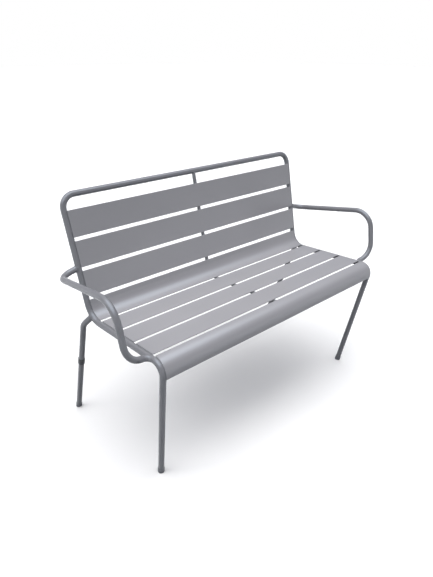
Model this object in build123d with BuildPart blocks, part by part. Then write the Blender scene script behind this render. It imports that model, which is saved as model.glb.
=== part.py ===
from build123d import *
import os
from math import cos, degrees, isclose, radians, sin, tan

# Outdoor bench of bent steel tube and sheet strips. Millimetres and degrees.
# X runs along the bench, the front faces -Y and Z is up. The origin lies on the
# floor under the middle of the bench. Left is the -X side.

# Bench as a whole
overall_depth = 570
seat_height = 470.5
rail_spacing = 1001
root_inset = 3
weld_gap = 0.15

# Surface that one sits on, seen from the side
seat_fall = 2.6
back_lean = 12.3
knee_radius = 45.5
bend_radius = 48

# Strips
slat_width = 83.6
slat_gap = 11.3
slat_thickness = 2.5
slat_edge_radius = 0.9
slat_end_setback = 5
flat_slat_names = ("seat_slat_front", "seat_slat_middle", "seat_slat_rear")
back_slat_names = ("back_slat_lower", "back_slat_middle", "back_slat_top")

# Tubes of the frame, the arms and the legs
tube_diameter = 19.5
tube_wall = 1.5
rail_gap = 35
rail_corner_radius = 41
upright_flare = 1.4

# Arm and front leg
arm_reach = 62.6
arm_set_back = 10.8
arm_root_drop = 19.3
arm_rise = 176.7
arm_root_radius = 36
arm_front_radius = 69
arm_turn_radius = 65.5
arm_weld_radius = 20.6
bend_spacing = 2
post_lean = 10
post_flare = 1.7
turn_sweep = 12.6
turn_fall = 11.3
front_leg_lean = 9.85
front_leg_tuck = 2.95

# Rear leg
rear_elbow_out = 25.5
rear_elbow_back = 21.2
rear_elbow_drop = 30.9
rear_elbow_radius = 33
rear_foot_spacing = 1034

# Rod behind the strips
support_diameter = 13
support_end_setback = 8

# Foot caps
cap_diameter = 22
cap_height = 17
cap_sole = 8
cap_edge_radius = 2
socket_clearance = 0.15

# Sleeves on the rear legs
bumper_diameter = 23
bumper_height = 25
bumper_level = 255
bumper_edge_radius = 1

# Side view of the surface: directions, corners and lengths
tube_radius = tube_diameter / 2
rail_side = rail_spacing / 2
tube_depth = slat_thickness + weld_gap + tube_radius
support_depth = slat_thickness + weld_gap + support_diameter / 2

rearward = Vector(0, cos(radians(seat_fall)), -sin(radians(seat_fall)))
seat_normal = Vector(0, sin(radians(seat_fall)), cos(radians(seat_fall)))
upward = Vector(0, sin(radians(back_lean)), cos(radians(back_lean)))
back_normal = Vector(0, -cos(radians(back_lean)), sin(radians(back_lean)))

knee_centre = Vector(0, knee_radius - overall_depth / 2, seat_height - knee_radius)
bend_turn = 90 - back_lean + seat_fall
bend_tangent = bend_radius * tan(radians(bend_turn / 2))
slat_pitch = slat_width + slat_gap
seat_run = len(flat_slat_names) * slat_pitch + slat_gap
face_corner = knee_centre + seat_normal * knee_radius + rearward * (seat_run + bend_tangent)

sheet_line_depth = slat_thickness / 2
sheet_knee_radius = knee_radius - sheet_line_depth
sheet_bend_radius = bend_radius + sheet_line_depth
sheet_bend_length = sheet_bend_radius * radians(bend_turn)
back_straight_start = slat_width - sheet_bend_length + slat_gap
back_slats_end = back_straight_start + len(back_slat_names) * slat_pitch - slat_gap
rail_level = bend_tangent + back_slats_end + rail_gap + tube_radius


def corner_behind(depth):
    """Corner between seat and back, on lines that lie this deep behind the surface."""
    spread = 1 + seat_normal.dot(back_normal)
    return face_corner - (seat_normal + back_normal) * (depth / spread)


def on_back(level, depth):
    """Point on the back, this far up from the surface's corner and this deep behind it."""
    return face_corner + upward * level - back_normal * depth


def knee_start(depth):
    """Point where the seat ends and the knee begins, this deep below the surface."""
    return knee_centre + seat_normal * (knee_radius - depth)


def tangent_length(before, after, radius):
    """Distance from a corner to the ends of the arc that rounds it."""
    return radius * tan(radians(before.get_angle(after) / 2))


# Frame tube: from the arm's weld to the rear bend, the upright and the top rail
tube_corner = corner_behind(tube_depth)
upright_length = (on_back(rail_level, tube_depth) - tube_corner).length
flare = Vector(tan(radians(upright_flare)), 0, 0)
rear_corner = tube_corner + Vector(rail_side, 0, 0)
rail_corner = rear_corner + (upward + flare) * upright_length
frame_bend_radius = bend_radius + tube_depth

# Arm and front leg: directions and corners, from the foot up to the upright
forward = -rearward
leg_down = Vector(-tan(radians(front_leg_tuck)), tan(radians(front_leg_lean)), -1).normalized()
post_down = Vector(-tan(radians(post_flare)), -tan(radians(post_lean)), -1).normalized()
turn_in = Vector(
    -cos(radians(turn_fall)) * cos(radians(turn_sweep)),
    cos(radians(turn_fall)) * sin(radians(turn_sweep)),
    -sin(radians(turn_fall)),
)
knee_tube_radius = knee_radius - tube_depth
knee_tangent = tangent_length(forward, leg_down, knee_tube_radius)
weld_tangent = tangent_length(turn_in, forward, arm_weld_radius)
turn_tangent = tangent_length(post_down, turn_in, arm_turn_radius)

rail_start = knee_start(tube_depth) + Vector(rail_side, 0, 0)
knee_corner = rail_start + forward * knee_tangent
front_foot = knee_corner - leg_down * (knee_corner.Z / leg_down.Z)
bend_end = rail_start + rearward * bend_spacing
weld_corner = bend_end + rearward * weld_tangent
turn_corner = weld_corner - turn_in * (weld_tangent + bend_spacing + turn_tangent)
arm_corner_height = seat_height + arm_rise
front_corner = turn_corner + post_down * ((arm_corner_height - turn_corner.Z) / post_down.Z)
arm_level = bend_tangent + back_straight_start + slat_width + slat_gap
arm_root = rear_corner + (upward + flare) * (
    (on_back(arm_level, tube_depth) - tube_corner).length
)
root_corner = arm_root + Vector(arm_reach, arm_set_back, -arm_root_drop)

# Rear leg: from the middle of the frame's rear bend to the floor
bisector = (upward - rearward).normalized()
bend_apex = rear_corner + bisector * (frame_bend_radius * (1 / cos(radians(bend_turn / 2)) - 1))
elbow_corner = bend_apex + Vector(rear_elbow_out, rear_elbow_back, -rear_elbow_drop)
rear_foot = Vector(rear_foot_spacing / 2, overall_depth / 2 - cap_diameter / 2, 0)


def sided(point, side):
    """The same point on the right side, 1, or mirrored to the left side, -1."""
    return Vector(point.X * side, point.Y, point.Z)


def shortened(start, toward):
    """Start of a tube that is cut to fit the tube it is welded to."""
    return start + (toward - start).normalized() * root_inset


def bent_tube(points, radii, diameter, wall=0):
    """Tube along straight runs and rounded corners, solid when it has no wall."""
    with BuildPart() as tube:
        with BuildLine() as centre_line:
            FilletPolyline(*points, radius=radii)
        with BuildSketch(centre_line.line ^ 0):
            Circle(diameter / 2)
            if wall:
                Circle(diameter / 2 - wall, mode=Mode.SUBTRACT)
        sweep()
    return tube.part


def leg_end(foot, toward):
    """End of a leg's tube, above the sole of its cap."""
    return foot + (toward - foot).normalized() * cap_sole


def arm_route(side):
    """Points of one arm and front leg, from the upright to the foot cap."""
    points = [
        shortened(arm_root, root_corner),
        root_corner,
        front_corner,
        turn_corner,
        weld_corner,
        knee_corner,
        leg_end(front_foot, knee_corner),
    ]
    return [sided(point, side) for point in points]


def rear_leg_route(side):
    """Points of one rear leg, from the frame's bend to the foot cap."""
    points = [shortened(bend_apex, elbow_corner), elbow_corner, leg_end(rear_foot, elbow_corner)]
    return [sided(point, side) for point in points]


arm_radii = [arm_root_radius, arm_front_radius, arm_turn_radius, arm_weld_radius, knee_tube_radius]
frame_radii = [frame_bend_radius, rail_corner_radius, rail_corner_radius, frame_bend_radius]
joint_diameter = tube_diameter + 2 * weld_gap


def frame_route(start):
    """Points of the frame tube, from this point on the right side rail to the left one."""
    half = [start, rear_corner, rail_corner]
    return half + [sided(point, -1) for point in reversed(half)]


# Outside of the frame tube behind the arms' lower welds, where other tubes are cut to fit it
rail_middle = (bend_end + rear_corner) / 2
frame_cutter = bent_tube(frame_route(rail_middle), frame_radii, joint_diameter)


def build_frame():
    """Frame tube, with its two front ends cut to fit the arms."""
    arm_cutters = [bent_tube(arm_route(side), arm_radii, joint_diameter) for side in (1, -1)]
    with BuildPart() as back_seat_frame:
        add(bent_tube(frame_route(bend_end), frame_radii, tube_diameter, tube_wall))
        add(arm_cutters, mode=Mode.SUBTRACT)
    return back_seat_frame.part


def build_arm_leg(side):
    """Arm and front leg, cut at its root to fit the upright."""
    with BuildPart() as arm_leg:
        add(bent_tube(arm_route(side), arm_radii, tube_diameter, tube_wall))
        add(frame_cutter, mode=Mode.SUBTRACT)
    return arm_leg.part


def build_rear_leg(side):
    """Rear leg, cut at its top to fit the frame's bend."""
    with BuildPart() as rear_leg:
        add(bent_tube(rear_leg_route(side), [rear_elbow_radius], tube_diameter, tube_wall))
        add(frame_cutter, mode=Mode.SUBTRACT)
    return rear_leg.part


def build_support():
    """Rod that carries the middle of every strip."""
    start = on_back(rail_level - root_inset, support_depth)
    radius = bend_radius + support_depth
    knee_wrap = degrees((slat_width - support_end_setback) / knee_radius)
    with BuildPart() as centre_support:
        with BuildLine(Plane.YZ) as rod_line:
            FilletPolyline(
                (start.Y, start.Z),
                (corner_behind(support_depth).Y, corner_behind(support_depth).Z),
                (knee_start(support_depth).Y, knee_start(support_depth).Z),
                radius=radius,
            )
            JernArc(
                start=(knee_start(support_depth).Y, knee_start(support_depth).Z),
                tangent=(forward.Y, forward.Z),
                radius=knee_radius - support_depth,
                arc_size=knee_wrap,
            )
        with BuildSketch(rod_line.line ^ 0):
            Circle(support_diameter / 2)
        sweep()
        add(frame_cutter, mode=Mode.SUBTRACT)
    return centre_support.part


# Line through the middle of the sheet, from the strip on the knee to the top of the back.
# It is drawn in side view, where the first value is Y and the second is Z.
sheet_corner = corner_behind(sheet_line_depth)
sheet_knee_start = knee_start(sheet_line_depth)
sheet_top = on_back(rail_level, sheet_line_depth)
knee_turn = degrees(slat_width / sheet_knee_radius)

with BuildLine() as sheet_line:
    CenterArc(
        center=(knee_centre.Y, knee_centre.Z),
        radius=sheet_knee_radius,
        start_angle=90 - seat_fall + knee_turn,
        arc_size=-knee_turn,
    )
    FilletPolyline(
        (sheet_knee_start.Y, sheet_knee_start.Z),
        (sheet_corner.Y, sheet_corner.Z),
        (sheet_top.Y, sheet_top.Z),
        radius=sheet_bend_radius,
    )


def end_plane(side, flared):
    """Plane that trims the strips at one side, upright or along the flared back."""
    lean = upward * tan(radians(upright_flare)) if flared else Vector(0, 0, 0)
    trim_point = rear_corner - Vector(slat_end_setback, 0, 0)
    return Plane(origin=sided(trim_point, side), z_dir=sided(Vector(1, 0, 0) - lean, side))


def build_slat(place, flared=False):
    """Strip at one place along the line of the sheet, counted from the knee."""
    line = sheet_line.wire()
    start = place * slat_pitch
    strip = line.trim(start / line.length, (start + slat_width) / line.length)
    with BuildPart() as slat:
        with BuildSketch(Plane.YZ) as section:
            trace(strip, line_width=slat_thickness)
            ends = section.edges().filter_by(lambda edge: isclose(edge.length, slat_thickness))
            fillet(ends.vertices(), radius=slat_edge_radius)
        extrude(amount=rail_spacing, both=True)
        split(bisect_by=end_plane(1, flared), keep=Keep.BOTTOM)
        split(bisect_by=end_plane(-1, flared), keep=Keep.BOTTOM)
    return slat.part


def build_foot(foot, toward):
    """Cap round the end of a leg, with its sole flat on the floor."""
    axis = (toward - foot).normalized()
    with BuildPart() as cap:
        with BuildSketch(Plane(origin=foot, z_dir=axis)):
            Circle(cap_diameter / 2)
        extrude(amount=cap_height, both=True)
        split(bisect_by=Plane.XY)
        fillet(cap.edges().group_by(Axis.Z)[0], radius=cap_edge_radius)
        with BuildSketch(Plane(origin=leg_end(foot, toward), z_dir=axis)):
            Circle(tube_radius + socket_clearance)
        extrude(amount=cap_height, mode=Mode.SUBTRACT)
    return cap.part


def build_bumper(side):
    """Sleeve round a rear leg."""
    foot = sided(rear_foot, side)
    axis = (sided(elbow_corner, side) - foot).normalized()
    middle = foot + axis * (bumper_level / axis.Z)
    with BuildPart() as bumper:
        with BuildSketch(Plane(origin=middle, z_dir=axis)):
            Circle(bumper_diameter / 2)
            Circle(tube_radius + socket_clearance, mode=Mode.SUBTRACT)
        extrude(amount=bumper_height / 2, both=True)
        outer_rims = bumper.edges().filter_by(GeomType.CIRCLE).sort_by(SortBy.RADIUS)[-2:]
        fillet(outer_rims, radius=bumper_edge_radius)
    return bumper.part


pieces = {
    "back_seat_frame": build_frame(),
    "centre_support": build_support(),
    "seat_slat_bullnose": build_slat(0),
}
for place, name in enumerate(flat_slat_names, start=1):
    pieces[name] = build_slat(place)
curved_place = len(flat_slat_names) + 1
pieces["seat_slat_rear_curved"] = build_slat(curved_place, flared=True)
for place, name in enumerate(back_slat_names, start=curved_place + 1):
    pieces[name] = build_slat(place, flared=True)
for side, word in ((1, "right"), (-1, "left")):
    pieces[f"arm_leg_{word}"] = build_arm_leg(side)
    pieces[f"rear_leg_{word}"] = build_rear_leg(side)
    pieces[f"foot_front_{word}"] = build_foot(sided(front_foot, side), sided(knee_corner, side))
    pieces[f"foot_rear_{word}"] = build_foot(sided(rear_foot, side), sided(elbow_corner, side))
    pieces[f"bumper_{word}"] = build_bumper(side)

os.makedirs("parts", exist_ok=True)
for name, piece in pieces.items():
    piece.label = name
    export_step(piece, f"parts/{name}.step")
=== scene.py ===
from math import acos, atan2, cos, pi, radians, sin, sqrt

import bpy
from bpy.props import FloatProperty, FloatVectorProperty, PointerProperty
from bpy.types import Operator, Panel, PropertyGroup
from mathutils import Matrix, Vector


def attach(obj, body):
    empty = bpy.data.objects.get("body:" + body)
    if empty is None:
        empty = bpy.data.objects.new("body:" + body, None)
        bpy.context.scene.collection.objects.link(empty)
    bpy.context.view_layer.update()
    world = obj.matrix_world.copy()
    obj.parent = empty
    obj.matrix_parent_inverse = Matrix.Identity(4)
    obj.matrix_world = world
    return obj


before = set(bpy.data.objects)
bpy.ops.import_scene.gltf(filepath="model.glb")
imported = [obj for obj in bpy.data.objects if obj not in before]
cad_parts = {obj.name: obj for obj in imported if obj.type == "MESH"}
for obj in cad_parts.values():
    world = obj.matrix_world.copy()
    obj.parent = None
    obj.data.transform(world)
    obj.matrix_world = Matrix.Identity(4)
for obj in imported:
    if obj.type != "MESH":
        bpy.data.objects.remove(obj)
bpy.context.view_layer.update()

bl_info = {
    "name": "Garden Bench of Tube and Strips",
    "version": (1, 0, 0),
    "blender": (4, 5, 0),
    "location": "3D View > Sidebar > Bench",
    "description": "Finishes the bench's steel, plastic and welds, and sets it in a studio",
    "category": "Object",
}

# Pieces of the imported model, by their finish
TUBES = (
    "back_seat_frame",
    "arm_leg_left",
    "arm_leg_right",
    "rear_leg_left",
    "rear_leg_right",
    "centre_support",
)
STRIPS = (
    "back_slat_top",
    "back_slat_middle",
    "back_slat_lower",
    "seat_slat_rear_curved",
    "seat_slat_rear",
    "seat_slat_middle",
    "seat_slat_front",
    "seat_slat_bullnose",
)
CAPS = ("foot_front_left", "foot_front_right", "foot_rear_left", "foot_rear_right")
SLEEVES = ("bumper_left", "bumper_right")

# Noise values, from 0 to 1, between which a pattern sets in
TONE_SPAN = (0.25, 0.75)
SPECK_SPAN = (0.32, 0.68)
DUST_SPAN = (0.4, 0.75)
MOTE_SPAN = (0.83, 0.87)
WEAR_SPAN = (0.35, 0.6)
FLOW_SPAN = (0.3, 0.7)
FLOW_GLOSS_SPAN = (0.2, 0.8)
SCUFF_SPAN = (0.5, 0.72)

# Upward parts of a surface's normal between which dust and motes set in
DUST_SLOPE = (0.55, 1)
MOTE_SLOPE = (0.2, 0.9)

# Cosines of the turn from true to rounded normal at which an edge's wear starts and is full
EDGE_TURN = (0.97, 0.8)
EDGE_SAMPLES = 6

# Steps round the ring of a tube's bead, round a bead's thickness and along one ripple
RING_STEPS = 256
RING_BEAD_SIDES = 12
STRIP_BEAD_SIDES = 10
STEPS_PER_RIPPLE = 4

# Share of the rim's half width at which its place on the other tube is worked out, inside the steep sides
RIM_SHARE = 0.985

# Least rear part less upward part of a face's normal on a strip's underside
UNDERSIDE_TURN = 0.4

# Decimals that are kept of a point in metres, to find shared corners
POINT_DECIMALS = 6


class BenchCoating(PropertyGroup):
    """Powder coat of the tubes and the strips. The tubes' darker colour is partly painted shade."""

    # The coat's own grey, darkened below the strips' colour as painted shade on the tubes
    tube_colour_with_painted_shade: FloatVectorProperty(
        name="Tube colour", description="Colour of the coat on the tubes",
        subtype="COLOR", size=3, min=0, max=1, default=(0.26, 0.247, 0.247),
    )
    strip_colour: FloatVectorProperty(
        name="Strip colour", description="Colour of the coat on the strips",
        subtype="COLOR", size=3, min=0, max=1, default=(0.385, 0.36, 0.355),
    )
    dust_colour: FloatVectorProperty(
        name="Dust colour", description="Colour of the thin dust on surfaces that face up",
        subtype="COLOR", size=3, min=0, max=1, default=(0.385, 0.37, 0.35),
    )
    worn_colour: FloatVectorProperty(
        name="Worn colour", description="Colour of the coat where its edges are rubbed",
        subtype="COLOR", size=3, min=0, max=1, default=(0.42, 0.425, 0.435),
    )
    roughness: FloatProperty(
        name="Roughness", description="Mean roughness of the satin coat",
        subtype="FACTOR", min=0, max=1, default=0.2,
    )
    roughness_change: FloatProperty(
        name="Roughness change", description="Slow change of the roughness to either side of its mean",
        subtype="FACTOR", min=0, max=1, default=0.015,
    )
    grain_roughness: FloatProperty(
        name="Grain roughness", description="Roughness that the tops of the grain add",
        subtype="FACTOR", min=0, max=1, default=0.06,
    )
    worn_polish: FloatProperty(
        name="Worn polish", description="Roughness that rubbing takes away",
        subtype="FACTOR", min=0, max=1, default=0.12,
    )
    reflection: FloatProperty(
        name="Reflection", description="Strength of the clear reflection on the coat",
        subtype="FACTOR", min=0, max=1, default=0.55,
    )
    reflection_tint: FloatVectorProperty(
        name="Reflection tint", description="Colour of the clear reflection on the coat",
        subtype="COLOR", size=3, min=0, max=1, default=(0.74, 0.87, 1),
    )
    flake_share: FloatProperty(
        name="Flake share", description="Share of the coat that reflects as metal flakes do",
        subtype="FACTOR", min=0, max=1, default=0.06,
    )
    tone_spacing: FloatProperty(
        name="Tone spacing", description="Distance between slightly darker and lighter parts",
        unit="LENGTH", min=0.01, max=2, default=0.2,
    )
    tone_change: FloatProperty(
        name="Tone change", description="Share by which those parts are darker or lighter",
        subtype="FACTOR", min=0, max=1, default=0.02,
    )
    speck_tone: FloatProperty(
        name="Speck tone", description="Tone of the grain's dark specks as a share of the coat's",
        subtype="FACTOR", min=0, max=1, default=0.8,
    )
    speck_share: FloatProperty(
        name="Speck share", description="Most that the specks' tone covers the coat's",
        subtype="FACTOR", min=0, max=1, default=0.2,
    )
    cloud_spacing: FloatProperty(
        name="Cloud spacing", description="Distance between parts with more and less dust and wear",
        unit="LENGTH", min=0.001, max=1, default=0.03,
    )
    dust_shares: FloatVectorProperty(
        name="Dust shares", description="Least and most cover of the dust",
        size=2, min=0, max=1, default=(0.02, 0.1),
    )
    mote_spacing: FloatProperty(
        name="Mote spacing", description="Distance that sets the size of single motes of dust",
        unit="LENGTH", min=0.0005, max=0.1, default=0.0045,
    )
    mote_share: FloatProperty(
        name="Mote share", description="Most cover of a mote",
        subtype="FACTOR", min=0, max=1, default=0.45,
    )
    wear_shares: FloatVectorProperty(
        name="Wear shares", description="Least and most cover of the worn colour along an edge",
        size=2, min=0, max=1, default=(0.1, 0.55),
    )
    grain_size: FloatProperty(
        name="Grain size", description="Distance between the bumps of the coat's fine texture",
        unit="LENGTH", min=0.0002, max=0.01, default=0.0009,
    )
    grain_depth: FloatProperty(
        name="Grain depth", description="Height of the bumps of the coat's fine texture",
        unit="LENGTH", min=0, max=0.001, default=0.000015,
    )
    peel_size: FloatProperty(
        name="Peel size",
        description="Distance between the coat's low waves, as a multiple of the grain size",
        min=1, max=100, default=5,
    )
    peel_depth: FloatProperty(
        name="Peel depth", description="Height of the low waves, as a multiple of the grain depth",
        min=0, max=100, default=1.5,
    )
    edge_width: FloatProperty(
        name="Edge width", description="Width of the rubbed band along an edge",
        unit="LENGTH", min=0, max=0.01, default=0.0012,
    )


class BenchPlastic(PropertyGroup):
    """Plastic of the foot caps and of the sleeves on the rear legs."""

    cap_colour: FloatVectorProperty(
        name="Cap colour", description="Colour of the foot caps",
        subtype="COLOR", size=3, min=0, max=1, default=(0.21, 0.21, 0.22),
    )
    sleeve_colour: FloatVectorProperty(
        name="Sleeve colour", description="Colour of the sleeves on the rear legs",
        subtype="COLOR", size=3, min=0, max=1, default=(0.05, 0.053, 0.054),
    )
    scuff_colour: FloatVectorProperty(
        name="Scuff colour", description="Colour of scuffed and dusty plastic",
        subtype="COLOR", size=3, min=0, max=1, default=(0.2, 0.195, 0.185),
    )
    scuff_height: FloatProperty(
        name="Scuff height", description="Height over which the foot caps' scuffs grow fewer upwards",
        unit="LENGTH", min=0, max=0.1, default=0.008,
    )
    scuff_share: FloatProperty(
        name="Scuff share", description="Most cover of the scuffs",
        subtype="FACTOR", min=0, max=1, default=0.5,
    )
    upper_scuffs: FloatProperty(
        name="Upper scuffs", description="Share of the foot caps' scuffs that is there at every height",
        subtype="FACTOR", min=0, max=1, default=0.25,
    )
    edge_scuffs: FloatProperty(
        name="Edge scuffs", description="Cover of the scuffs along an edge",
        subtype="FACTOR", min=0, max=1, default=0.4,
    )
    edge_width: FloatProperty(
        name="Edge width", description="Width of the scuffed band along an edge",
        unit="LENGTH", min=0, max=0.01, default=0.001,
    )
    scratch_spacing: FloatProperty(
        name="Scratch spacing", description="Distance between scratches, across them",
        unit="LENGTH", min=0.0002, max=0.1, default=0.002,
    )
    scratch_stretch: FloatProperty(
        name="Scratch stretch",
        description="Scale of the scratches' pattern upwards, where less makes them longer",
        min=0.01, max=1, default=0.15,
    )
    flow_spacing: FloatProperty(
        name="Flow spacing", description="Distance between darker and lighter parts of the plastic",
        unit="LENGTH", min=0.001, max=0.1, default=0.012,
    )
    flow_tones: FloatVectorProperty(
        name="Flow tones", description="Tones of the darkest and lightest parts as shares of the colour",
        size=2, min=0, max=2, default=(0.85, 1.2),
    )
    roughness: FloatVectorProperty(
        name="Roughness", description="Least and most roughness of the plastic",
        size=2, min=0, max=1, default=(0.46, 0.58),
    )
    scuff_roughness: FloatProperty(
        name="Scuff roughness", description="Roughness that full scuffs add",
        subtype="FACTOR", min=0, max=1, default=0.2,
    )
    grain_size: FloatProperty(
        name="Grain size", description="Distance between the bumps of the moulded texture",
        unit="LENGTH", min=0.0002, max=0.01, default=0.0007,
    )
    grain_depth: FloatProperty(
        name="Grain depth", description="Height of the bumps of the moulded texture",
        unit="LENGTH", min=0, max=0.001, default=0.00005,
    )


class BenchWelds(PropertyGroup):
    """Weld beads where one tube meets the side of another, and under the ends of the strips."""

    bead_radius: FloatProperty(
        name="Bead radius", description="Half the thickness of a weld bead",
        unit="LENGTH", min=0.0005, max=0.01, default=0.0019,
    )
    ripple_length: FloatProperty(
        name="Ripple length", description="Length of one ripple along a bead",
        unit="LENGTH", min=0.0005, max=0.02, default=0.0016,
    )
    ripple_depth: FloatProperty(
        name="Ripple depth", description="Share of the bead's radius that its ripples rise and fall",
        subtype="FACTOR", min=0, max=1, default=0.09,
    )
    tube_radius: FloatProperty(
        name="Tube radius", description="Outer radius of the bent tubes",
        unit="LENGTH", min=0.001, max=0.1, default=0.00975,
    )
    strip_bead_radius: FloatProperty(
        name="Strip bead radius", description="Half the thickness of the beads at the ends of the strips",
        unit="LENGTH", min=0.0005, max=0.01, default=0.0014,
    )
    strip_bead_out: FloatProperty(
        name="Strip bead outwards", description="Distance of a bead's middle beyond the end of its strip",
        unit="LENGTH", min=0, max=0.01, default=0.0004,
    )
    strip_bead_under: FloatProperty(
        name="Strip bead under", description="Distance of a bead's middle below the underside of its strip",
        unit="LENGTH", min=0, max=0.01, default=0.0005,
    )
    end_slant: FloatProperty(
        name="End slant", description="Most that the end of a strip runs in or out over the strip's width",
        unit="LENGTH", min=0, max=0.02, default=0.0025,
    )
    rounding_width: FloatProperty(
        name="Rounding width", description="Width up to which a face belongs to a strip's rounded edge",
        unit="LENGTH", min=0, max=0.01, default=0.0006,
    )
    arm_root: FloatVectorProperty(
        name="Arm weld", description="Point on the upright's centre line where the right arm starts",
        subtype="XYZ", unit="LENGTH", size=3, default=(0.5047, 0.14518, 0.61011),
    )
    arm_way: FloatVectorProperty(
        name="Arm direction", description="Direction in which the right arm leaves the upright",
        subtype="DIRECTION", size=3, default=(0.0626, 0.0108, -0.0193),
    )
    upright_way: FloatVectorProperty(
        name="Upright direction", description="Direction of the right upright",
        subtype="DIRECTION", size=3, default=(0.0244, 0.213, 0.977),
    )
    leg_root: FloatVectorProperty(
        name="Rear leg weld", description="Point in the rear bend where the right rear leg starts",
        subtype="XYZ", unit="LENGTH", size=3, default=(0.5005, 0.09725, 0.45709),
    )
    leg_way: FloatVectorProperty(
        name="Rear leg direction", description="Direction in which the right rear leg leaves the bend",
        subtype="DIRECTION", size=3, default=(0.0255, 0.0212, -0.0309),
    )
    bend_way: FloatVectorProperty(
        name="Bend direction", description="Direction of the rear bend at the rear leg's weld",
        subtype="DIRECTION", size=3, default=(0, 0.793, 0.609),
    )


class BenchStudio(PropertyGroup):
    """Camera, lights, backdrop and floor."""

    camera_place: FloatVectorProperty(
        name="Camera place", description="Point that the bench is seen from",
        subtype="XYZ", unit="LENGTH", size=3, default=(-1.119, -1.179, 1.218),
    )
    camera_turn: FloatVectorProperty(
        name="Camera turn", description="Rotation of the camera",
        subtype="EULER", unit="ROTATION", size=3, default=(radians(64.02), 0, radians(-41.99)),
    )
    camera_lens: FloatProperty(
        name="Camera lens", description="Focal length in millimetres",
        min=10, max=200, default=30.495,
    )
    camera_sensor: FloatProperty(
        name="Camera sensor", description="Length of the sensor's longer side in millimetres",
        min=1, max=100, default=36,
    )
    sun_from: FloatVectorProperty(
        name="Sun from", description="Direction that the weak main light comes from",
        subtype="DIRECTION", size=3, default=(-0.75, 0.4, 0.53),
    )
    sun_strength: FloatProperty(
        name="Sun strength", description="Strength of the weak main light",
        min=0, max=20, default=0.2,
    )
    sun_spread: FloatProperty(
        name="Sun spread", description="Angle that the weak main light spans in the sky",
        subtype="ANGLE", min=0, max=3.1, default=radians(14),
    )
    sky_strength: FloatProperty(
        name="Sky strength", description="Strength of the soft sky",
        min=0, max=20, default=3.5,
    )
    sky_top: FloatVectorProperty(
        name="Sky above", description="Light from the bright upper part of the sky",
        subtype="COLOR", size=3, min=0, max=1, default=(0.885, 0.935, 1.0),
    )
    sky_low: FloatVectorProperty(
        name="Sky at the horizon", description="Light from the level of the horizon",
        subtype="COLOR", size=3, min=0, max=1, default=(0.03, 0.036, 0.052),
    )
    sky_middle: FloatVectorProperty(
        name="Middle of the bright sky", description="Direction of the middle of the bright sky",
        subtype="DIRECTION", size=3, default=(-0.12, -0.1, 0.988),
    )
    sky_length: FloatProperty(
        name="Length of the bright sky",
        description="How much longer the bright sky is along the bench than across it",
        min=1, max=10, default=1.65,
    )
    sky_edge: FloatVectorProperty(
        name="Edge of the bright sky",
        description="Cosines of the angles from its middle between which the sky brightens",
        size=2, min=0, max=1, default=(0.74, 0.93),
    )
    backdrop_colour: FloatVectorProperty(
        name="Backdrop colour", description="What the camera and reflections see behind the floor",
        subtype="COLOR", size=3, min=0, max=1, default=(1.0, 1.0, 1.0),
    )
    backdrop_rise: FloatProperty(
        name="Backdrop rise",
        description="Angle above the horizon up to which reflections show the backdrop",
        subtype="ANGLE", min=0, max=radians(90), default=radians(12),
    )
    floor_colour: FloatVectorProperty(
        name="Floor colour", description="Floor as the camera and reflections see it",
        subtype="COLOR", size=3, min=0, max=1, default=(1.0, 0.945, 0.885),
    )
    bounce_colour: FloatVectorProperty(
        name="Bounce colour", description="Floor as it throws light back at the bench",
        subtype="COLOR", size=3, min=0, max=1, default=(0.05, 0.05, 0.05),
    )
    floor_size: FloatProperty(
        name="Floor size", description="Length of one side of the floor",
        unit="LENGTH", min=2, max=200, default=80,
    )


class NodeDesk:
    """Adds and joins the nodes of a material or a world."""

    def __init__(self, owner):
        owner.use_nodes = True
        self.nodes = owner.node_tree.nodes
        self.links = owner.node_tree.links

    def join(self, source, socket):
        """Feeds a socket from another socket, or sets it to a plain value."""
        if isinstance(source, bpy.types.NodeSocket):
            self.links.new(source, socket)
        else:
            socket.default_value = source

    def math(self, operation, first, second=0.0):
        """One arithmetic step."""
        node = self.nodes.new("ShaderNodeMath")
        node.operation = operation
        self.join(first, node.inputs[0])
        self.join(second, node.inputs[1])
        return node.outputs[0]

    def vector_math(self, operation, first, second=(0, 0, 0)):
        """One step with vectors, whose result is a vector or, for a product of two, a number."""
        node = self.nodes.new("ShaderNodeVectorMath")
        node.operation = operation
        self.join(first, node.inputs[0])
        self.join(second, node.inputs[1])
        return node.outputs["Value" if operation == "DOT_PRODUCT" else "Vector"]

    def upward(self, vector):
        """Upward part of a vector."""
        parts = self.nodes.new("ShaderNodeSeparateXYZ")
        self.links.new(vector, parts.inputs["Vector"])
        return parts.outputs["Z"]

    def ramp(self, source, span, target=(0, 1)):
        """Smooth step of a value from one range to another."""
        node = self.nodes.new("ShaderNodeMapRange")
        node.interpolation_type = "SMOOTHSTEP"
        self.join(source, node.inputs["Value"])
        node.inputs["From Min"].default_value = span[0]
        node.inputs["From Max"].default_value = span[1]
        node.inputs["To Min"].default_value = target[0]
        node.inputs["To Max"].default_value = target[1]
        return node.outputs["Result"]

    def mix(self, share, first, second):
        """Colour between two colours."""
        node = self.nodes.new("ShaderNodeMix")
        node.data_type = "RGBA"
        self.join(share, node.inputs["Factor"])
        self.join(first, node.inputs[6])
        self.join(second, node.inputs[7])
        return node.outputs[2]

    def seen(self, reflected=1.0):
        """1 for what the camera sees, and this share for what reflections and clear bodies show."""
        rays = self.nodes.new("ShaderNodeLightPath")
        indirect = self.math("MAXIMUM", rays.outputs["Is Glossy Ray"], rays.outputs["Is Transmission Ray"])
        indirect = self.math("MULTIPLY", indirect, reflected)
        return self.math("MAXIMUM", rays.outputs["Is Camera Ray"], indirect)


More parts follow.
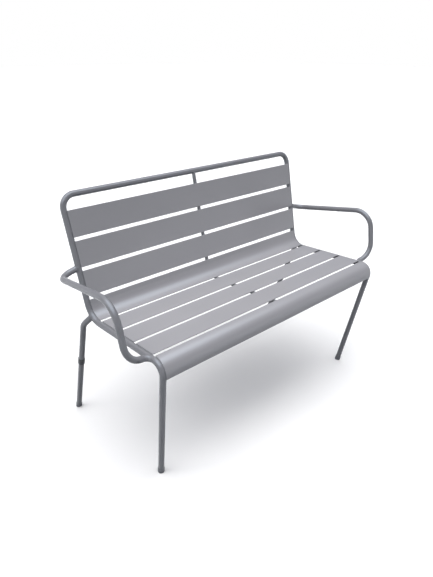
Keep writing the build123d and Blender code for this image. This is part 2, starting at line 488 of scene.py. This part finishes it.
class FinishDesk(NodeDesk):
    """Nodes of a surface finish, whose patterns have real sizes in the object's own coordinates."""

    def __init__(self, name):
        self.material = bpy.data.materials.new(name)
        super().__init__(self.material)
        self.shader = self.nodes["Principled BSDF"]
        self.place = self.nodes.new("ShaderNodeTexCoord").outputs["Object"]
        self.normal = self.nodes.new("ShaderNodeNewGeometry").outputs["Normal"]

    def noise(self, spacing, detail=2, roughness=0.5, stretch=(1, 1, 1)):
        """Noise whose lumps lie about this far apart."""
        mapping = self.nodes.new("ShaderNodeMapping")
        mapping.inputs["Scale"].default_value = stretch
        self.links.new(self.place, mapping.inputs["Vector"])
        node = self.nodes.new("ShaderNodeTexNoise")
        node.inputs["Scale"].default_value = 1 / spacing
        node.inputs["Detail"].default_value = detail
        node.inputs["Roughness"].default_value = roughness
        self.links.new(mapping.outputs["Vector"], node.inputs["Vector"])
        return node.outputs["Fac"]

    def bumps(self, height, distance, below=None):
        """Bump of a height pattern, over another bump."""
        node = self.nodes.new("ShaderNodeBump")
        node.inputs["Distance"].default_value = distance
        self.join(height, node.inputs["Height"])
        if below is not None:
            self.links.new(below, node.inputs["Normal"])
        return node.outputs["Normal"]

    def facing_up(self, span):
        """Share of a surface that faces up, from its own normal."""
        return self.ramp(self.upward(self.normal), span)

    def edges(self, width):
        """Share that is near an edge, where a rounded normal turns away from the true one."""
        bevel = self.nodes.new("ShaderNodeBevel")
        bevel.samples = EDGE_SAMPLES
        bevel.inputs["Radius"].default_value = width
        turn = self.vector_math("DOT_PRODUCT", bevel.outputs["Normal"], self.normal)
        return self.ramp(turn, EDGE_TURN)

    def feed(self, name, source):
        """Joins a result to an input of the shader, or sets that input to a plain value."""
        self.join(source, self.shader.inputs[name])


def shade(colour, factor):
    """Opaque colour, made darker or lighter."""
    return (*(min(part * factor, 1) for part in colour), 1)


def powder_coat(name, colour, coat):
    """Satin powder coat: fine grain, slow changes of tone, thin dust and rubbed edges."""
    desk = FinishDesk(name)
    slow = desk.noise(coat.tone_spacing, detail=1)
    cloudy = desk.noise(coat.cloud_spacing, detail=3)
    grain = desk.noise(coat.grain_size, detail=3, roughness=0.65)
    peel = desk.noise(coat.grain_size * coat.peel_size, detail=1)

    darker = shade(colour, 1 - coat.tone_change)
    lighter = shade(colour, 1 + coat.tone_change)
    tone = desk.mix(desk.ramp(slow, TONE_SPAN), darker, lighter)
    specks = desk.ramp(grain, SPECK_SPAN, (0, coat.speck_share))
    tone = desk.mix(specks, tone, shade(colour, coat.speck_tone))
    dust = desk.ramp(cloudy, DUST_SPAN, coat.dust_shares)
    dust = desk.math("MULTIPLY", desk.facing_up(DUST_SLOPE), dust)
    tone = desk.mix(dust, tone, (*coat.dust_colour, 1))
    motes = desk.ramp(desk.noise(coat.mote_spacing, detail=0), MOTE_SPAN, (0, coat.mote_share))
    motes = desk.math("MULTIPLY", motes, desk.facing_up(MOTE_SLOPE))
    tone = desk.mix(motes, tone, (*coat.dust_colour, 1))
    wear = desk.ramp(cloudy, WEAR_SPAN, coat.wear_shares)
    wear = desk.math("MULTIPLY", desk.edges(coat.edge_width), wear)
    desk.feed("Base Color", desk.mix(wear, tone, (*coat.worn_colour, 1)))

    least = coat.roughness - coat.roughness_change
    most = coat.roughness + coat.roughness_change
    gloss = desk.ramp(slow, TONE_SPAN, (least, most))
    gloss = desk.math("ADD", gloss, desk.math("MULTIPLY", grain, coat.grain_roughness))
    gloss = desk.math("SUBTRACT", gloss, desk.math("MULTIPLY", wear, coat.worn_polish))
    desk.feed("Roughness", gloss)

    waves = desk.bumps(peel, coat.grain_depth * coat.peel_depth)
    desk.feed("Normal", desk.bumps(grain, coat.grain_depth, waves))
    desk.feed("Metallic", coat.flake_share)
    desk.feed("Specular IOR Level", coat.reflection)
    desk.feed("Specular Tint", (*coat.reflection_tint, 1))
    return desk.material


def moulded_plastic(name, colour, plastic, near_floor):
    """Dark moulded plastic with a fine leather-like grain and pale scuffs."""
    desk = FinishDesk(name)
    grain = desk.noise(plastic.grain_size, detail=3)
    flow = desk.noise(plastic.flow_spacing, detail=3)
    scratches = desk.noise(plastic.scratch_spacing, detail=4, stretch=(1, 1, plastic.scratch_stretch))

    darker = shade(colour, plastic.flow_tones[0])
    lighter = shade(colour, plastic.flow_tones[1])
    tone = desk.mix(desk.ramp(flow, FLOW_SPAN), darker, lighter)
    scuffs = desk.ramp(scratches, SCUFF_SPAN, (0, plastic.scuff_share))
    if near_floor:
        high = desk.ramp(desk.upward(desk.place), (0, plastic.scuff_height))
        low = desk.math("SUBTRACT", 1.0, high)
        scuffs = desk.math("MULTIPLY", desk.math("ADD", low, plastic.upper_scuffs), scuffs)
    rubbed = desk.math("MULTIPLY", desk.edges(plastic.edge_width), plastic.edge_scuffs)
    scuffs = desk.math("MAXIMUM", scuffs, rubbed)
    desk.feed("Base Color", desk.mix(scuffs, tone, (*plastic.scuff_colour, 1)))

    gloss = desk.ramp(flow, FLOW_GLOSS_SPAN, plastic.roughness)
    gloss = desk.math("ADD", gloss, desk.math("MULTIPLY", scuffs, plastic.scuff_roughness))
    desk.feed("Roughness", gloss)
    desk.feed("Normal", desk.bumps(grain, plastic.grain_depth))
    return desk.material


def finish_nodes(names, material):
    """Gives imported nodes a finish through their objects' material slots."""
    for name in names:
        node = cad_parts[name]
        for slot in node.material_slots:
            slot.link = "OBJECT"
            slot.material = material


class BENCH_OT_coat_tubes(Operator):
    """Coat the bent tubes and the rod"""

    bl_idname = "bench.coat_tubes"
    bl_label = "Coat Tubes"

    def execute(self, context):
        coat = context.scene.bench_coating
        # The tubes' copy of the coat carries painted shade in its darker colour
        finish_nodes(TUBES, powder_coat("tube_coat_with_painted_shade", coat.tube_colour_with_painted_shade, coat))
        return {"FINISHED"}


class BENCH_OT_coat_strips(Operator):
    """Coat the sheet strips of the seat and the back"""

    bl_idname = "bench.coat_strips"
    bl_label = "Coat Strips"

    def execute(self, context):
        coat = context.scene.bench_coating
        finish_nodes(STRIPS, powder_coat("strip_powder_coat", coat.strip_colour, coat))
        return {"FINISHED"}


class BENCH_OT_finish_caps(Operator):
    """Give the foot caps their moulded plastic"""

    bl_idname = "bench.finish_caps"
    bl_label = "Finish Foot Caps"

    def execute(self, context):
        plastic = context.scene.bench_plastic
        finish_nodes(CAPS, moulded_plastic("cap_plastic", plastic.cap_colour, plastic, True))
        return {"FINISHED"}


class BENCH_OT_finish_sleeves(Operator):
    """Give the sleeves on the rear legs their moulded plastic"""

    bl_idname = "bench.finish_sleeves"
    bl_label = "Finish Sleeves"

    def execute(self, context):
        plastic = context.scene.bench_plastic
        finish_nodes(SLEEVES, moulded_plastic("sleeve_plastic", plastic.sleeve_colour, plastic, False))
        return {"FINISHED"}


def mirrored(vector, side):
    """The same vector on the right side, 1, or mirrored to the left side, -1."""
    return Vector((vector[0] * side, vector[1], vector[2]))


def weld_bead(name, root, way, carrier_way, welds):
    """Rippled bead round the end of a tube that is cut to fit the side of another tube."""
    bpy.ops.object.select_all(action="DESELECT")
    bpy.ops.mesh.primitive_torus_add(
        major_segments=RING_STEPS, minor_segments=RING_BEAD_SIDES,
        major_radius=welds.tube_radius, minor_radius=welds.bead_radius, location=(0, 0, 0),
    )
    bead = bpy.context.object
    bead.name = name
    way = way.normalized()
    across = carrier_way.cross(way).normalized()
    along = way.cross(across)
    outward = across.cross(carrier_way).normalized()
    if outward.dot(way) < 0:
        outward.negate()
    ripples = round(2 * pi * welds.tube_radius / welds.ripple_length)
    for vertex in bead.data.vertices:
        turn = atan2(vertex.co.y, vertex.co.x)
        rim = Vector((cos(turn), sin(turn), 0)) * welds.tube_radius
        swell = 1 + welds.ripple_depth * cos(ripples * turn)
        place = rim + (vertex.co - rim) * swell
        rise = sqrt(max(welds.tube_radius ** 2 - (RIM_SHARE * rim.x) ** 2, 0))
        reach = (rise - rim.y * along.dot(outward)) / way.dot(outward)
        vertex.co = root + across * place.x + along * place.y + way * (place.z + reach)
    finish_bead(bead)


def finish_bead(bead):
    """Turns a bead's faces outwards, smooths it, coats it and fixes it to the bench."""
    bpy.ops.object.mode_set(mode="EDIT")
    bpy.ops.mesh.select_all(action="SELECT")
    bpy.ops.mesh.normals_make_consistent(inside=False)
    bpy.ops.object.mode_set(mode="OBJECT")
    bpy.ops.object.shade_smooth()
    bead.data.materials.append(bpy.data.materials["tube_coat_with_painted_shade"])
    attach(bead, "root")


def underside_line(strip, side, welds):
    """Corner between a strip's underside and its end at one side, from the front to the top."""
    mesh, place = strip.data, strip.matrix_world
    corners = [place @ vertex.co for vertex in mesh.vertices]
    reach = max(side * corner.x for corner in corners)
    line = set()
    for face in mesh.polygons:
        under = face.normal.y - face.normal.z > UNDERSIDE_TURN
        broad = face.area > 2 * reach * welds.rounding_width
        if not (under and broad):
            continue
        for index in face.vertices:
            if side * corners[index].x > reach - welds.end_slant:
                line.add(tuple(round(part, POINT_DECIMALS) for part in corners[index]))
    return [Vector(point) for point in sorted(line, key=lambda point: point[1] + point[2])]


def walk(line, distance):
    """Point and direction this far along a line of points."""
    for start, end in zip(line, line[1:]):
        step = (end - start).length
        if distance <= step or end is line[-1]:
            way = (end - start).normalized()
            return start + way * distance, way
        distance -= step


def strip_bead(name, line, side, welds):
    """Rippled bead along the end of a strip, in the corner between its underside and the tube."""
    length = sum((end - start).length for start, end in zip(line, line[1:]))
    ripples = round(length / welds.ripple_length)
    bpy.ops.object.select_all(action="DESELECT")
    bpy.ops.mesh.primitive_uv_sphere_add(
        segments=STRIP_BEAD_SIDES, ring_count=STEPS_PER_RIPPLE * ripples, radius=1, location=(0, 0, 0),
    )
    bead = bpy.context.object
    bead.name = name
    for vertex in bead.data.vertices:
        share = acos(max(-1, min(1, -vertex.co.z))) / pi
        turn = atan2(vertex.co.y, vertex.co.x)
        from_end = min(share, 1 - share) * length
        taper = sqrt(1 - max(0, 1 - from_end / welds.strip_bead_radius) ** 2)
        ripple = 1 + welds.ripple_depth * cos(2 * pi * ripples * share)
        radius = welds.strip_bead_radius * taper * ripple
        point, way = walk(line, share * length)
        outward = Vector((side, 0, 0)) * (welds.strip_bead_out + radius * cos(turn))
        under = Vector((0, way.z, -way.y)) * (welds.strip_bead_under + radius * sin(turn))
        vertex.co = point + outward + under
    finish_bead(bead)


class BENCH_OT_add_welds(Operator):
    """Add the weld beads of the arms, the rear legs and the strips"""

    bl_idname = "bench.add_welds"
    bl_label = "Add Weld Beads"

    def execute(self, context):
        welds = context.scene.bench_welds
        arm = (welds.arm_root, welds.arm_way, welds.upright_way)
        leg = (welds.leg_root, welds.leg_way, welds.bend_way)
        for word, side in (("right", 1), ("left", -1)):
            weld_bead(f"weld_arm_{word}", *(mirrored(vector, side) for vector in arm), welds)
            weld_bead(f"weld_rear_leg_{word}", *(mirrored(vector, side) for vector in leg), welds)
            for strip in STRIPS:
                line = underside_line(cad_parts[strip], side, welds)
                strip_bead(f"weld_{strip}_{word}", line, side, welds)
        return {"FINISHED"}


def floor_material(studio):
    """Pale floor for the camera and reflections, and a dark one for the light that it throws back."""
    material = bpy.data.materials.new("floor")
    desk = NodeDesk(material)
    desk.nodes.clear()
    surface = desk.nodes.new("ShaderNodeBsdfDiffuse")
    colour = desk.mix(desk.seen(), (*studio.bounce_colour, 1), (*studio.floor_colour, 1))
    desk.links.new(colour, surface.inputs["Color"])
    output = desk.nodes.new("ShaderNodeOutputMaterial")
    desk.links.new(surface.outputs["BSDF"], output.inputs["Surface"])
    return material


def light_sky(scene, studio):
    """Soft sky with a bright band above the bench, and a backdrop for the camera and reflections."""
    world = bpy.data.worlds.new("studio_sky")
    scene.world = world
    desk = NodeDesk(world)
    desk.nodes.clear()
    direction = desk.nodes.new("ShaderNodeTexCoord").outputs["Generated"]

    drawn_in = desk.vector_math("MULTIPLY", direction, (1 / studio.sky_length, 1, 1))
    unit = desk.vector_math("NORMALIZE", drawn_in)
    nearness = desk.vector_math("DOT_PRODUCT", unit, studio.sky_middle)
    brightness = desk.ramp(nearness, studio.sky_edge)
    sky = desk.nodes.new("ShaderNodeBackground")
    sky.inputs["Strength"].default_value = studio.sky_strength
    light = desk.mix(brightness, (*studio.sky_low, 1), (*studio.sky_top, 1))
    desk.links.new(light, sky.inputs["Color"])

    backdrop = desk.nodes.new("ShaderNodeBackground")
    backdrop.inputs["Color"].default_value = (*studio.backdrop_colour, 1)
    low = desk.math("LESS_THAN", desk.upward(direction), sin(studio.backdrop_rise))
    chosen = desk.nodes.new("ShaderNodeMixShader")
    desk.links.new(desk.seen(low), chosen.inputs["Fac"])
    desk.links.new(sky.outputs["Background"], chosen.inputs[1])
    desk.links.new(backdrop.outputs["Background"], chosen.inputs[2])
    output = desk.nodes.new("ShaderNodeOutputWorld")
    desk.links.new(chosen.outputs["Shader"], output.inputs["Surface"])


class BENCH_OT_set_studio(Operator):
    """Add the floor, the lights and the camera"""

    bl_idname = "bench.set_studio"
    bl_label = "Set Studio"

    def execute(self, context):
        scene = context.scene
        studio = scene.bench_studio
        bpy.ops.object.select_all(action="DESELECT")
        bpy.ops.mesh.primitive_plane_add(size=studio.floor_size, location=(0, 0, 0))
        floor = context.object
        floor.name = "studio_floor"
        floor.data.materials.append(floor_material(studio))
        light_sky(scene, studio)
        bpy.ops.object.light_add(type="SUN")
        sun = context.object
        sun.name = "soft_sun"
        sun.data.energy = studio.sun_strength
        sun.data.angle = studio.sun_spread
        sun.rotation_euler = Vector(studio.sun_from).to_track_quat("Z", "Y").to_euler()
        bpy.ops.object.camera_add(location=studio.camera_place, rotation=studio.camera_turn)
        camera = context.object
        camera.name = "photo_camera"
        camera.data.sensor_width = studio.camera_sensor
        camera.data.lens = studio.camera_lens
        scene.camera = camera
        scene.view_settings.view_transform = "Standard"
        return {"FINISHED"}


class BENCH_PT_sidebar(Panel):
    """Steps that finish the bench"""

    bl_label = "Garden Bench"
    bl_idname = "BENCH_PT_sidebar"
    bl_space_type = "VIEW_3D"
    bl_region_type = "UI"
    bl_category = "Bench"

    def draw(self, context):
        layout = self.layout
        scene = context.scene
        for title, group, steps in SIDEBAR:
            box = layout.box()
            box.label(text=title)
            settings = getattr(scene, group)
            for field in settings.__annotations__:
                box.prop(settings, field)
            for step in steps:
                box.operator(step.bl_idname)


SIDEBAR = (
    ("Coating", "bench_coating", (BENCH_OT_coat_tubes, BENCH_OT_coat_strips)),
    ("Plastic", "bench_plastic", (BENCH_OT_finish_caps, BENCH_OT_finish_sleeves)),
    ("Welds", "bench_welds", (BENCH_OT_add_welds,)),
    ("Studio", "bench_studio", (BENCH_OT_set_studio,)),
)
CLASSES = (
    BenchCoating,
    BenchPlastic,
    BenchWelds,
    BenchStudio,
    BENCH_OT_coat_tubes,
    BENCH_OT_coat_strips,
    BENCH_OT_finish_caps,
    BENCH_OT_finish_sleeves,
    BENCH_OT_add_welds,
    BENCH_OT_set_studio,
    BENCH_PT_sidebar,
)


def register():
    for cls in CLASSES:
        bpy.utils.register_class(cls)
    bpy.types.Scene.bench_coating = PointerProperty(type=BenchCoating)
    bpy.types.Scene.bench_plastic = PointerProperty(type=BenchPlastic)
    bpy.types.Scene.bench_welds = PointerProperty(type=BenchWelds)
    bpy.types.Scene.bench_studio = PointerProperty(type=BenchStudio)


def unregister():
    del bpy.types.Scene.bench_studio
    del bpy.types.Scene.bench_welds
    del bpy.types.Scene.bench_plastic
    del bpy.types.Scene.bench_coating
    for cls in reversed(CLASSES):
        bpy.utils.unregister_class(cls)


def main():
    """Finishes the bench and sets the studio."""
    register()
    bpy.ops.bench.coat_tubes()
    bpy.ops.bench.coat_strips()
    bpy.ops.bench.finish_caps()
    bpy.ops.bench.finish_sleeves()
    bpy.ops.bench.add_welds()
    bpy.ops.bench.set_studio()


if __name__ == "__main__":
    main()
